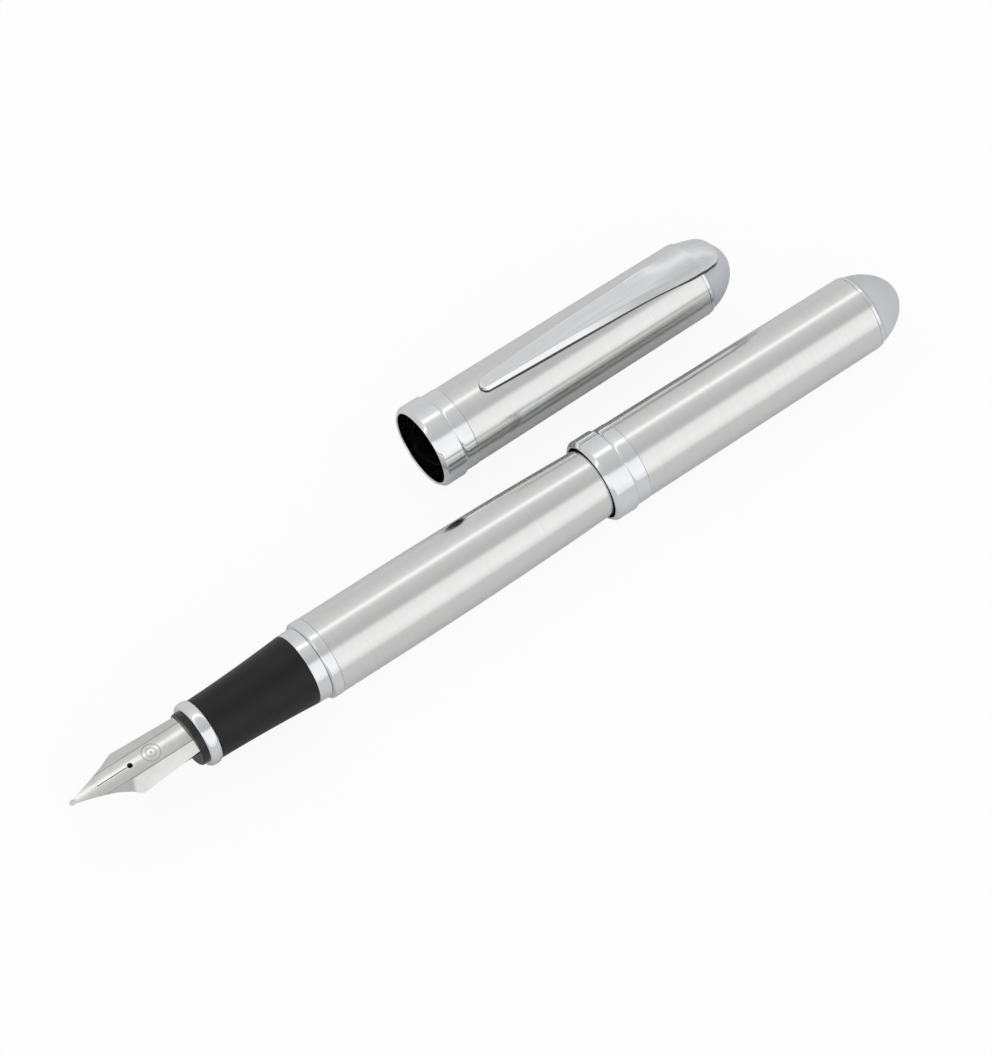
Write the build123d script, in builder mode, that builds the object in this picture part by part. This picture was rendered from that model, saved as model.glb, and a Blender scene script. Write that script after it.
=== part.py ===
from build123d import *
import math
import os

# Fountain pen lying on a table, its clipless cap pushed on the tail, and the clip cap beside it.
# Frame: +X from nib to tail, +Y towards the clip cap, +Z up, z = 0 on the table, x = 0 at mid length.
# Lengths along the pen are stations measured from the tip of the nib, in millimetres.

# ---- fits ----
thread_play = 0.05  # section thread in the barrel bush
housing_play = 0.03  # nib housing in the section
converter_play = 0.25  # converter in the section
nipple_play = 0.05  # ink nipple in the converter mouth
piston_play = 0.03  # piston seal in the ink chamber
rod_play = 0.05  # piston rod in its bush and in the knob
stem_play = 0.08  # knob stem in the converter band
part_gap = 0.3  # end gaps between pieces that turn or slide
cap_play = 0.15  # cap mouth over the section ring
liner_play = 0.2  # cap liner over the grip
throat_play = 0.13  # liner throat over the nib and its housing
post_play = 0.04  # liner throat over the barrel's tail
skin_play = 0.02  # glued or pressed pieces inside a tube
clip_play = 0.08  # clip over the cap
screw_play = 0.2  # screw in the end ring, and past its tip in the dome
slot_play = 0.05  # nib in the slot of its housing

# ---- nib and feed ----
nib_reach = 21.0  # tip to the face of the housing
nib_tail = 9.0  # part of the nib inside the housing
nib_sheet = 0.35
nib_bend = 5.6  # outer radius of the bent sheet
nib_crest = 3.35  # height of the nib's top line over the pen's axis
nib_half_width = 4.19
nib_shoulder = 10.6  # station of the widest point
nib_root_half_width = 3.45
nib_tail_half_width = 2.6
nib_tip_half_width = 0.35
nib_waist_place = 0.64  # shares of the shoulder station and of the half width, for two points of the outline
nib_waist_share = 0.52
nib_cheek_place = 0.83
nib_cheek_share = 0.8
nib_tip_slope = 0.28
nib_shoulder_slope = -0.07
nib_trim = 0.5  # the bent sheet ends this far over the centre of its bend
slit_width = 0.12
breather_station = 10.8
breather_radius = 0.44
point_length = 0.8
point_radius = 0.42
point_nose_place = 0.15  # shares of the pellet's length and radius
point_nose_share = 0.72
point_belly_place = 0.55
point_heel_place = 0.85
point_heel_share = 0.9
point_weld_share = 0.7
feed_radius = 2.75
feed_rise = 0.3  # the feed's centre lies this far over the axis
feed_start = 2.8
feed_heel = 13.0  # station where the feed reaches its full depth
feed_tip_half_width = 0.4
feed_cheek_station = 9.5  # up to here the feed stays narrower than the nib over it
feed_cheek_half_width = 1.5
feed_nose_share = 0.74  # heights of the sloped front, as shares of the nib's crest
feed_knee_share = 0.2
feed_knee_place = 0.55  # share of the way to the heel
fin_setback = 0.7  # from the face of the housing to the first slot
fin_count = 9
fin_pitch = 0.75
fin_slot = 0.3
fin_core_radius = 1.75
ink_channel = 0.4  # width
ink_channel_depth = 1.2

# ---- section ----
housing_radius = 4.1
lip_stand = 0.32  # the lip stands this far over the housing
lip_length = 1.0
lip_round = 0.3
housing_length = 12.0
housing_back = 1.0  # wall behind the feed
nipple_radius = 1.25
nipple_length = 4.0
nipple_channel_radius = 0.5
core_front_wall = 0.42
sleeve_wall = 0.45
grip_flare = 0.87  # the grip grows by this much towards the barrel
grip_hollow = 0.135  # depth of the grip's waist under a straight line
grip_length = 17.1
nose_ring_stand = 0.31
nose_ring_length = 2.1
nose_ring_step = 0.1  # the ring starts this far over the lip of the housing
nose_ring_rise_place = 0.32  # shares of its length, and how far it lies under its crest there
nose_ring_rise = 0.14
nose_ring_crest_place = 0.66
nose_ring_fall_place = 0.9
nose_ring_fall = 0.09
section_ring_length = 2.3
section_ring_stand = 0.03
core_wall = 1.0
spigot_length = 8.5
thread_groove = 0.22
thread_pitch = 1.0

# ---- converter ----
converter_radius = 3.65
converter_length = 72.0
converter_wall = 0.65
converter_mouth = 5.0  # solid mouth that takes the nipple
converter_tube_length = 47.0
band_wall = 0.2
band_front = 43.0  # from the mouth of the converter to the front of the band
band_back = 56.7
band_lip_start = 48.9
converter_chamfer = 0.3
mouth_chamfer = 0.4
bush_front = 38.7  # from the mouth of the converter to the guide bush
converter_bush_length = 5.8
knob_radius = 3.4
knob_stem_radius = 2.0
knob_flange_radius = 2.9
knob_flange_length = 1.3
knob_wall = 1.3  # closed end of the knob
flute_count = 16
flute_radius = 0.3
flute_offset = 0.1  # the centres of the flutes lie this far outside the knob
flute_inset = 1.0  # plain rim at each end of the knob
knob_chamfer = 0.6
rod_radius = 1.0
rod_flat = 0.8  # half distance between the rod's two flats
rod_length = 36.5
seal_length = 4.0
seal_rest = 32.7  # from the mouth of the converter to the front of the seal when drawn back
seal_pocket = 3.0
seal_nose = 0.6  # radius lost at the front of the seal
seal_nose_length = 0.5
seal_rib = 1.2  # from either end of the seal to the inner edge of its rib
seal_groove = 0.5  # depth between the ribs
seal_groove_slope = 0.4
ball_radius = 1.0

# ---- barrel ----
bush_wall = 0.75
bush_length = 9.2
barrel_wall = 0.74
collar_stand = 0.06
collar_length = 1.8
barrel_length = 75.2
barrel_straight = 12.7  # straight stretch behind the collar
barrel_bow = 930.0  # radius of the long curve that tapers the barrel
barrel_end_length = 4.2
barrel_end_spigot = 5.0
barrel_end_nose = 0.55  # fullness of the plug at its tip
barrel_end_shoulder = 0.93  # fullness at its side
barrel_end_shoulder_place = 0.5
edge_break = 0.12

# ---- caps, measured from the mouth of the cap ----
cap_length = 57.8
cap_sleeve_wall = 0.2
cap_wall = 0.25
band_stand = 0.4  # the band stands this far over the tube
band_lip_flat = 0.3
band_chamfer = 0.6
band_flat = 3.25
band_cove = 0.85
cove_bend_place = 0.35  # where the cove turns, as a share of its length
cove_bend_share = 0.3  # and how much of the step is left there
band_neck = 1.8
neck_stand = 0.08
sleeve_length = 2.1
taper_start = 10.0
cap_taper = 0.28  # radius lost between the straight stretch and the end
cap_end = 7.0  # end ring and dome together
end_ring_length = 0.8
end_ring_inset = 0.1
end_ring_bevel = 0.25
end_plug_length = 3.0
liner_end_gap = 1.8  # between the liner and the end plug
seal_gap = 0.3  # between the nose ring and the liner's step
screw_radius = 1.25
screw_head_radius = 2.4
screw_head = 1.3
screw_length = 6.7
screw_slot = 0.6
screw_chamfer = 0.2
dome_shoulder = 0.93  # fullness of the dome at its side
dome_shoulder_place = 0.42
dome_nose = 0.55  # fullness of the dome at its tip
dome_grow_back = 0.4  # how far the dome's handles move when its outline is grown
dome_grow_side = 0.6

# ---- clip, measured from the mouth of the cap ----
clip_front = 11.3
clip_tip_half_width = 1.25
clip_mid_half_width = 2.1
clip_root_half_width = 3.0
clip_hood_half_width = 3.2
clip_sheet = 0.95
clip_arch = 0.44  # gap under the middle of the clip
clip_root_gap = 0.22
clip_facet_rise = 0.5
clip_facet_share = 0.45  # share of the half width that slopes down to the edge
clip_hood_end = 2.2  # the hood stops this far before the end of the cap
clip_hood_lap = 5.0  # the hood starts this far before the end of the tube
clip_leaf_lap = 0.5  # the leaf runs this far into the hood
clip_hood_slope = 0.06
clip_hood_nose = 1.5  # from the hood's end to the point where it narrows
clip_hood_nose_share = 0.72
tongue_width = 2.2
tongue_sheet = 0.4
tongue_depth = 1.2
tongue_lap = 0.3  # the tongue runs this far up into the hood
tongue_inset = 0.2  # from the tube to the tongue
notch_side_play = 0.2
notch_end_play = 0.5

# ---- layout ----
cap_pitch = 20.2  # distance between the axes of the pen and of the clip cap
clip_cap_station = 78.5  # mouth of the clip cap behind the tip of the nib

# ---- stations and radii that follow from the sizes above ----
nose_ring_start = nib_reach + lip_length
grip_start = nose_ring_start + nose_ring_length
section_ring_start = grip_start + grip_length
collar_start = section_ring_start + section_ring_length
barrel_start = collar_start + collar_length
barrel_stop = barrel_start + barrel_length
bow_start = barrel_start + barrel_straight
housing_stop = nib_reach + housing_length
spigot_stop = collar_start + spigot_length

converter_start = housing_stop + part_gap
converter_stop = converter_start + converter_length
tube_stop = converter_start + converter_tube_length
band_start = converter_start + band_front
band_stop = converter_start + band_back
band_lip = converter_start + band_lip_start
bush_start = converter_start + bush_front
bush_stop = bush_start + converter_bush_length
seal_start = converter_start + seal_rest
knob_start = band_stop + part_gap
chamber_radius = converter_radius - converter_wall

core_bore = converter_radius + converter_play
spigot_radius = core_bore + core_wall
housing_bore = housing_radius + housing_play
core_front_radius = max(housing_bore, core_bore) + core_front_wall
grip_front_radius = core_front_radius + sleeve_wall
grip_rear_radius = grip_front_radius + grip_flare
nose_ring_radius = grip_front_radius + nose_ring_stand
section_ring_radius = grip_rear_radius + section_ring_stand
lip_radius = housing_radius + lip_stand

bush_bore = spigot_radius + thread_play
bush_radius = bush_bore + bush_wall
barrel_radius = bush_radius + barrel_wall
collar_radius = barrel_radius + collar_stand

bend_centre = nib_crest - nib_bend
nib_side_height = bend_centre + math.sqrt(nib_bend**2 - nib_half_width**2)
nib_corner_radius = math.hypot(nib_half_width, nib_side_height)

cap_bore = section_ring_radius + cap_play
sleeve_radius = cap_bore + cap_sleeve_wall
cap_radius = sleeve_radius + cap_wall
band_radius = cap_radius + band_stand
neck_radius = cap_radius + neck_stand
band_length = band_chamfer + band_flat + band_cove + band_neck
liner_start = band_length + sleeve_length
throat_start = collar_start - nose_ring_start + seal_gap
throat_radius = max(lip_radius, nib_corner_radius) + throat_play
cap_tube_stop = cap_length - cap_end
dome_start = cap_tube_stop + end_ring_length
plug_start = cap_tube_stop - end_plug_length
liner_stop = plug_start - liner_end_gap
cap_end_radius = cap_radius - cap_taper
end_ring_radius = cap_end_radius - end_ring_inset
dome_radius = end_ring_radius - end_ring_bevel
tube_end_bore = cap_end_radius - cap_wall
axis_height = band_radius


def barrelRadius(station):
    """Outer radius of the barrel at a station."""
    past = max(0.0, station - bow_start)
    return barrel_radius - barrel_bow + math.sqrt(barrel_bow**2 - past**2)


def gripRadius(station):
    """Radius of the waisted grip at a station."""
    share = (station - grip_start) / grip_length
    straight = grip_front_radius + grip_flare * share
    return straight - 4 * grip_hollow * share * (1 - share)


def capBore(place):
    """Inner radius of a cap's tube, at a place measured from its mouth."""
    share = max(0.0, place - taper_start) / (cap_tube_stop - taper_start)
    return sleeve_radius - cap_taper * share


# The posted cap stops where the barrel's tail fills the throat of its liner.
post_drop = barrel_radius - (throat_radius - post_play)
post_stop = bow_start + math.sqrt(2 * barrel_bow * post_drop - post_drop**2)
tail_cap_station = post_stop - throat_start
overall_length = tail_cap_station + cap_length
liner_bore = max(nose_ring_radius, gripRadius(collar_start - liner_start)) + liner_play


def sidePlane(station, side):
    """Upright plane along an axis, with its origin on the axis at a station."""
    corner = (station - overall_length / 2, side * cap_pitch / 2, axis_height)
    return Plane(origin=corner, x_dir=(1, 0, 0), z_dir=(0, -1, 0))


def crossPlane(station, side):
    """Plane across an axis: its x is +Y, its y is +Z and it faces the tail."""
    corner = (station - overall_length / 2, side * cap_pitch / 2, axis_height)
    return Plane(origin=corner, x_dir=(0, 1, 0), z_dir=(1, 0, 0))


def topPlane(station, side):
    """Level plane through an axis: its x is +X and its y is +Y."""
    corner = (station - overall_length / 2, side * cap_pitch / 2, axis_height)
    return Plane(origin=corner, x_dir=(1, 0, 0), z_dir=(0, 0, 1))


def axisOf(side):
    """The line that the turned pieces are turned about."""
    return Axis((0, side * cap_pitch / 2, axis_height), (1, 0, 0))


def finish(piece, name):
    """Label a piece and write it to its own file."""
    piece.part.label = name
    export_step(piece.part, f"parts/{name}.step")


os.makedirs("parts", exist_ok=True)
pen = -1
cap = 1
pen_side = sidePlane(0, pen)
pen_axis = axisOf(pen)

# ---- nib: a bent sheet cut to its outline, slit from the tip to the breather hole ----
with BuildPart() as nib:
    with BuildSketch(crossPlane(point_length, pen)):
        with Locations((0, bend_centre)):
            Circle(nib_bend)
            Circle(nib_bend - nib_sheet, mode=Mode.SUBTRACT)
        with Locations((0, bend_centre - nib_bend)):
            Rectangle(3 * nib_bend, 2 * (nib_bend + nib_trim), mode=Mode.SUBTRACT)
    extrude(amount=nib_reach + nib_tail - point_length)
    with BuildSketch(topPlane(0, pen)):
        with BuildLine():
            nib_side = Spline(
                (point_length, nib_tip_half_width),
                (nib_waist_place * nib_shoulder, nib_waist_share * nib_half_width),
                (nib_cheek_place * nib_shoulder, nib_cheek_share * nib_half_width),
                (nib_shoulder, nib_half_width),
                tangents=[(1, nib_tip_slope), (1, nib_shoulder_slope)],
            )
            Polyline(
                nib_side @ 1,
                (nose_ring_start, nib_root_half_width),
                (nose_ring_start, nib_tail_half_width),
                (nib_reach + nib_tail, nib_tail_half_width),
                (nib_reach + nib_tail, 0),
            )
            Line((point_length, 0), nib_side @ 0)
            mirror(about=Plane.XZ)
        make_face()
    extrude(amount=2 * nib_bend, mode=Mode.INTERSECT)
    with BuildSketch(topPlane(0, pen)):
        with Locations((breather_station, 0)):
            Circle(breather_radius)
        with Locations((breather_station / 2, 0)):
            Rectangle(breather_station, slit_width)
    extrude(amount=2 * nib_bend, mode=Mode.SUBTRACT)
finish(nib, "nib")

# ---- nib point: a round pellet on the front edge of the nib ----
point_height = nib_crest - nib_sheet / 2
point_side = Plane(
    origin=(-overall_length / 2, pen * cap_pitch / 2, axis_height + point_height),
    x_dir=(1, 0, 0),
    z_dir=(0, -1, 0),
)
with BuildPart() as nib_point:
    with BuildSketch(point_side):
        with BuildLine():
            ThreePointArc(
                (0, 0),
                (point_nose_place * point_length, point_nose_share * point_radius),
                (point_belly_place * point_length, point_radius),
            )
            ThreePointArc(
                (point_belly_place * point_length, point_radius),
                (point_heel_place * point_length, point_heel_share * point_radius),
                (point_length, point_weld_share * point_radius),
            )
            Polyline((point_length, point_weld_share * point_radius), (point_length, 0), (0, 0))
        make_face()
    revolve(axis=Axis(point_side.origin, (1, 0, 0)))
finish(nib_point, "nib_point")

# ---- feed: fills the hollow of the nib, sloped at the front, with comb fins and an ink channel ----
feed_stop = housing_stop - housing_back
with BuildPart() as feed:
    with BuildSketch(crossPlane(feed_start, pen)):
        with Locations((0, feed_rise)):
            Circle(feed_radius)
        with Locations((0, bend_centre)):
            Circle(nib_bend - nib_sheet - skin_play, mode=Mode.INTERSECT)
    extrude(amount=feed_stop - feed_start)
    with BuildSketch(pen_side):
        with BuildLine():
            Polyline(
                (feed_start, nib_crest),
                (feed_start, feed_nose_share * nib_crest),
                (feed_knee_place * feed_heel, feed_knee_share * nib_crest),
                (feed_heel, feed_rise - feed_radius),
                (feed_heel, -2 * feed_radius),
                (feed_stop, -2 * feed_radius),
                (feed_stop, nib_crest),
                close=True,
            )
        make_face()
    extrude(amount=2 * feed_radius, both=True, mode=Mode.INTERSECT)
    with BuildSketch(topPlane(0, pen)):
        with BuildLine():
            Polyline(
                (feed_start, feed_tip_half_width),
                (feed_cheek_station, feed_cheek_half_width),
                (feed_heel, nib_half_width),
                (feed_stop, nib_half_width),
                (feed_stop, -nib_half_width),
                (feed_heel, -nib_half_width),
                (feed_cheek_station, -feed_cheek_half_width),
                (feed_start, -feed_tip_half_width),
                close=True,
            )
        make_face()
    extrude(amount=2 * nib_bend, both=True, mode=Mode.INTERSECT)
    for number in range(fin_count):
        slot_station = nib_reach - fin_setback - number * fin_pitch - fin_slot
        with BuildSketch(crossPlane(slot_station, pen)):
            with Locations((0, feed_rise)):
                Circle(2 * feed_radius)
                Circle(fin_core_radius, mode=Mode.SUBTRACT)
        extrude(amount=fin_slot, mode=Mode.SUBTRACT)
    with BuildSketch(crossPlane(feed_start, pen)):
        with Locations((0, nib_crest - nib_sheet)):
            Rectangle(ink_channel, 2 * ink_channel_depth)
    extrude(amount=feed_stop - feed_start, mode=Mode.SUBTRACT)
finish(feed, "feed")

# ---- nib housing: round collar and body, pierced for nib and feed, with the ink nipple ----
lip_bend = lip_round * (1 - math.sqrt(0.5))
with BuildPart() as nib_housing:
    with BuildSketch(pen_side):
        with BuildLine():
            ThreePointArc(
                (nib_reach, lip_radius - lip_round),
                (nib_reach + lip_bend, lip_radius - lip_bend),
                (nib_reach + lip_round, lip_radius),
            )
            Polyline(
                (nib_reach + lip_round, lip_radius),
                (nose_ring_start, lip_radius),
                (nose_ring_start, housing_radius),
                (housing_stop, housing_radius),
                (housing_stop, nipple_radius),
                (housing_stop + nipple_length, nipple_radius),
                (housing_stop + nipple_length, nipple_channel_radius),
                (feed_stop, nipple_channel_radius),
                (feed_stop, 0),
                (nib_reach, 0),
                (nib_reach, lip_radius - lip_round),
            )
        make_face()
    revolve(axis=pen_axis)
    with BuildSketch(crossPlane(nib_reach, pen)):
        with Locations((0, feed_rise)):
            Circle(feed_radius + skin_play)
        with Locations((0, bend_centre)):
            Circle(nib_bend - nib_sheet, mode=Mode.INTERSECT)
    extrude(amount=feed_stop - nib_reach, mode=Mode.SUBTRACT)
    for slot_half_width, slot_end in (
        (nib_root_half_width + slot_play, nose_ring_start + skin_play),
        (nib_tail_half_width + skin_play, nib_reach + nib_tail + skin_play),
    ):
        with BuildSketch(crossPlane(nib_reach, pen)):
            with Locations((0, bend_centre)):
                Circle(nib_bend + skin_play)
                Circle(nib_bend - nib_sheet - skin_play, mode=Mode.SUBTRACT)
            with Locations((0, nib_bend)):
                Rectangle(2 * slot_half_width, 2 * nib_bend, mode=Mode.INTERSECT)
        extrude(amount=slot_end - nib_reach, mode=Mode.SUBTRACT)
finish(nib_housing, "nib_housing")

# ---- nose ring: a bead at the front of the grip ----
nose_ring_front = nose_ring_start + nose_ring_rise_place * nose_ring_length
nose_ring_crest = nose_ring_start + nose_ring_crest_place * nose_ring_length
nose_ring_rear = nose_ring_start + nose_ring_fall_place * nose_ring_length
with BuildPart() as nose_ring:
    with BuildSketch(pen_side):
        with BuildLine():
            Line((nose_ring_start, housing_bore), (nose_ring_start, lip_radius + nose_ring_step))
            ThreePointArc(
                (nose_ring_start, lip_radius + nose_ring_step),
                (nose_ring_front, nose_ring_radius - nose_ring_rise),
                (nose_ring_crest, nose_ring_radius),
            )
            ThreePointArc(
                (nose_ring_crest, nose_ring_radius),
                (nose_ring_rear, nose_ring_radius - nose_ring_fall),
                (grip_start, grip_front_radius),
            )
            Polyline(
                (grip_start, grip_front_radius),
                (grip_start, housing_bore),
                (nose_ring_start, housing_bore),
            )
        make_face()
    revolve(axis=pen_axis)
finish(nose_ring, "nose_ring")

# ---- grip sleeve: waisted tube on the front of the core ----
with BuildPart() as grip_sleeve:
    with BuildSketch(pen_side):
        with BuildLine():
            grip_middle = grip_start + grip_length / 2
            ThreePointArc(
                (grip_start, grip_front_radius),
                (grip_middle, gripRadius(grip_middle)),
                (section_ring_start, grip_rear_radius),
            )
            Polyline(
                (section_ring_start, grip_rear_radius),
                (section_ring_start, core_front_radius),
                (grip_start, core_front_radius),
                (grip_start, grip_front_radius),
            )
        make_face()
    revolve(axis=pen_axis)
finish(grip_sleeve, "grip_sleeve")

# ---- section core: metal tube through grip and ring, with the thread behind it ----
with BuildPart() as section_core:
    with BuildSketch(pen_side):
        with BuildLine():
            Polyline(
                (grip_start, housing_bore),
                (grip_start, core_front_radius),
                (collar_start, core_front_radius),
                (collar_start, spigot_radius),
                (spigot_stop - edge_break, spigot_radius),
                (spigot_stop, spigot_radius - edge_break),
                (spigot_stop, core_bore),
                (housing_stop + part_gap / 2, core_bore),
                (housing_stop + part_gap / 2, housing_bore),
                close=True,
            )
        make_face()
    revolve(axis=pen_axis)
    thread_start = barrel_start + thread_pitch
    thread_count = int((spigot_stop - thread_start) / thread_pitch)
    for turn in range(thread_count):
        groove = thread_start + turn * thread_pitch
        with BuildSketch(pen_side):
            with BuildLine():
                Polyline(
                    (groove - thread_groove, spigot_radius + thread_play),
                    (groove + thread_groove, spigot_radius + thread_play),
                    (groove, spigot_radius - thread_groove),
                    close=True,
                )
            make_face()
        revolve(axis=pen_axis, mode=Mode.SUBTRACT)
finish(section_core, "section_core")

# ---- section ring: bright ring between the grip and the barrel ----
with BuildPart() as section_ring:
    with BuildSketch(pen_side):
        with BuildLine():
            Polyline(
                (section_ring_start, core_front_radius),
                (section_ring_start, section_ring_radius - edge_break),
                (section_ring_start + edge_break, section_ring_radius),
                (collar_start - edge_break, section_ring_radius),
                (collar_start, section_ring_radius - edge_break),
                (collar_start, core_front_radius),
                close=True,
            )
        make_face()
    revolve(axis=pen_axis)
finish(section_ring, "section_ring")

# ---- converter tube: clear reservoir with a thick mouth ----
chamber_start = converter_start + converter_mouth
with BuildPart() as converter_tube:
    with BuildSketch(pen_side):
        with BuildLine():
            Polyline(
                (converter_start, nipple_radius + nipple_play),
                (converter_start, converter_radius - mouth_chamfer),
                (converter_start + mouth_chamfer, converter_radius),
                (tube_stop, converter_radius),
                (tube_stop, chamber_radius),
                (chamber_start, chamber_radius),
                (chamber_start, nipple_radius + nipple_play),
                close=True,
            )
        make_face()
    revolve(axis=pen_axis)
finish(converter_tube, "converter_tube")

# ---- converter band: metal sleeve that holds the knob to the tube ----
band_outer = converter_radius + band_wall
lip_bore = knob_stem_radius + stem_play
with BuildPart() as converter_band:
    with BuildSketch(pen_side):
        with BuildLine():
            Polyline(
                (band_start, converter_radius),
                (band_start, band_outer),
                (band_stop - converter_chamfer, band_outer),
                (band_stop, band_outer - converter_chamfer),
                (band_stop, lip_bore),
                (band_lip, lip_bore),
                (band_lip, converter_radius),
                close=True,
            )
        make_face()
    revolve(axis=pen_axis)
finish(converter_band, "converter_band")

# ---- converter bush: plug in the rear of the tube whose flats keep the rod from turning ----
with BuildPart() as converter_bush:
    with BuildSketch(crossPlane(bush_start, pen)):
        Circle(chamber_radius)
    extrude(amount=converter_bush_length)
    with BuildSketch(crossPlane(bush_start, pen)):
        Circle(rod_radius + rod_play)
        Rectangle(4 * rod_radius, 2 * (rod_flat + rod_play), mode=Mode.INTERSECT)
    extrude(amount=converter_bush_length, mode=Mode.SUBTRACT)
finish(converter_bush, "converter_bush")

# ---- converter knob: fluted knob with a hollow stem that the rod screws into ----
flange_start = tube_stop + part_gap
with BuildPart() as converter_knob:
    with BuildSketch(pen_side):
        with BuildLine():
            Polyline(
                (bush_stop + part_gap / 2, rod_radius + rod_play),
                (bush_stop + part_gap / 2, knob_stem_radius),
                (flange_start, knob_stem_radius),
                (flange_start, knob_flange_radius),
                (flange_start + knob_flange_length, knob_flange_radius),
                (flange_start + knob_flange_length, knob_stem_radius),
                (knob_start, knob_stem_radius),
                (knob_start, knob_radius - converter_chamfer),
                (knob_start + converter_chamfer, knob_radius),
                (converter_stop - knob_chamfer, knob_radius),
                (converter_stop, knob_radius - knob_chamfer),
                (converter_stop, 0),
                (converter_stop - knob_wall, 0),
                (converter_stop - knob_wall, rod_radius + rod_play),
                close=True,
            )
        make_face()
    revolve(axis=pen_axis)
    with BuildSketch(crossPlane(knob_start + flute_inset, pen)):
        with PolarLocations(knob_radius + flute_offset, flute_count):
            Circle(flute_radius)
    extrude(amount=converter_stop - knob_start - 2 * flute_inset, mode=Mode.SUBTRACT)
finish(converter_knob, "converter_knob")

# ---- piston: flatted rod and ribbed seal ----
rod_start = seal_start + seal_length - seal_pocket
with BuildPart() as piston_rod:
    with BuildSketch(crossPlane(rod_start, pen)):
        Circle(rod_radius)
        Rectangle(4 * rod_radius, 2 * rod_flat, mode=Mode.INTERSECT)
    extrude(amount=rod_length)
finish(piston_rod, "piston_rod")

seal_radius = chamber_radius - piston_play
seal_stop = seal_start + seal_length
groove_start = seal_rib + seal_groove_slope
with BuildPart() as piston_seal:
    with BuildSketch(pen_side):
        with BuildLine():
            Polyline(
                (seal_start, 0),
                (seal_start, seal_radius - seal_nose),
                (seal_start + seal_nose_length, seal_radius),
                (seal_start + seal_rib, seal_radius),
                (seal_start + groove_start, seal_radius - seal_groove),
                (seal_stop - groove_start, seal_radius - seal_groove),
                (seal_stop - seal_rib, seal_radius),
                (seal_stop, seal_radius),
                (seal_stop, 0),
                close=True,
            )
        make_face()
    revolve(axis=pen_axis)
    with BuildSketch(crossPlane(rod_start, pen)):
        Circle(rod_radius)
        Rectangle(4 * rod_radius, 2 * rod_flat, mode=Mode.INTERSECT)
    extrude(amount=seal_pocket, mode=Mode.SUBTRACT)
finish(piston_seal, "piston_seal")

# ---- ink ball: lies on the wall of the ink chamber ----
ball_centre = (
    chamber_start + ball_radius + part_gap - overall_length / 2,
    pen * cap_pitch / 2,
    axis_height - chamber_radius + ball_radius + skin_play,
)
with BuildPart() as ink_ball:
    with Locations(ball_centre):
        Sphere(ball_radius)
finish(ink_ball, "ink_ball")

# ---- barrel collar ----
with BuildPart() as barrel_collar:
    with BuildSketch(pen_side):
        with BuildLine():
            Polyline(
                (collar_start, bush_bore),
                (collar_start, collar_radius - 2 * edge_break),
                (collar_start + 2 * edge_break, collar_radius),
                (barrel_start - edge_break, collar_radius),
                (barrel_start, collar_radius - edge_break),
                (barrel_start, bush_bore),
                close=True,
            )
        make_face()
    revolve(axis=pen_axis)
finish(barrel_collar, "barrel_collar")

# ---- barrel tube: straight behind the collar, then one long curve to the tail ----
bow_middle = (bow_start + barrel_stop) / 2
with BuildPart() as barrel_tube:
    with BuildSketch(pen_side):
        with BuildLine():
            Line((barrel_start, barrel_radius), (bow_start, barrel_radius))
            ThreePointArc(
                (bow_start, barrel_radius),
                (bow_middle, barrelRadius(bow_middle)),
                (barrel_stop, barrelRadius(barrel_stop)),
            )
            Line(
                (barrel_stop, barrelRadius(barrel_stop)),
                (barrel_stop, barrelRadius(barrel_stop) - barrel_wall),
            )
            ThreePointArc(
                (barrel_stop, barrelRadius(barrel_stop) - barrel_wall),
                (bow_middle, barrelRadius(bow_middle) - barrel_wall),
                (bow_start, bush_radius),
            )
            Polyline(
                (bow_start, bush_radius),
                (barrel_start, bush_radius),
                (barrel_start, barrel_radius),
            )
        make_face()
    revolve(axis=pen_axis)
finish(barrel_tube, "barrel_tube")

# ---- barrel bush: brass sleeve with the thread's bore ----
with BuildPart() as barrel_bush:
    with BuildSketch(pen_side):
        with Locations((barrel_start + bush_length / 2, (bush_radius + bush_bore) / 2)):
            Rectangle(bush_length, bush_wall)
    revolve(axis=pen_axis)
finish(barrel_bush, "barrel_bush")

# ---- barrel end: rounded plug ----
end_radius = barrelRadius(barrel_stop)
end_spigot_radius = end_radius - barrel_wall - skin_play
end_shoulder_station = barrel_stop + barrel_end_shoulder_place * barrel_end_length
with BuildPart() as barrel_end:
    with BuildSketch(pen_side):
        with BuildLine():
            Polyline(
                (barrel_stop, end_radius),
                (barrel_stop, end_spigot_radius),
                (barrel_stop - barrel_end_spigot, end_spigot_radius),
                (barrel_stop - barrel_end_spigot, 0),
                (barrel_stop + barrel_end_length, 0),
            )
            Bezier(
                (barrel_stop + barrel_end_length, 0),
                (barrel_stop + barrel_end_length, barrel_end_nose * end_radius),
                (end_shoulder_station, barrel_end_shoulder * end_radius),
                (barrel_stop, end_radius),
            )
        make_face()
    revolve(axis=pen_axis)
finish(barrel_end, "barrel_end")


def domeCurve(grow):
    """Control points of the dome's outline, grown outwards."""
    shoulder_place = dome_start + dome_shoulder_place * (cap_length - dome_start)
    return (
        (dome_start, dome_radius + grow),
        (shoulder_place + dome_grow_back * grow, dome_shoulder * dome_radius + grow),
        (cap_length + grow, dome_nose * dome_radius + dome_grow_side * grow),
        (cap_length + grow, 0),
    )


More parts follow.
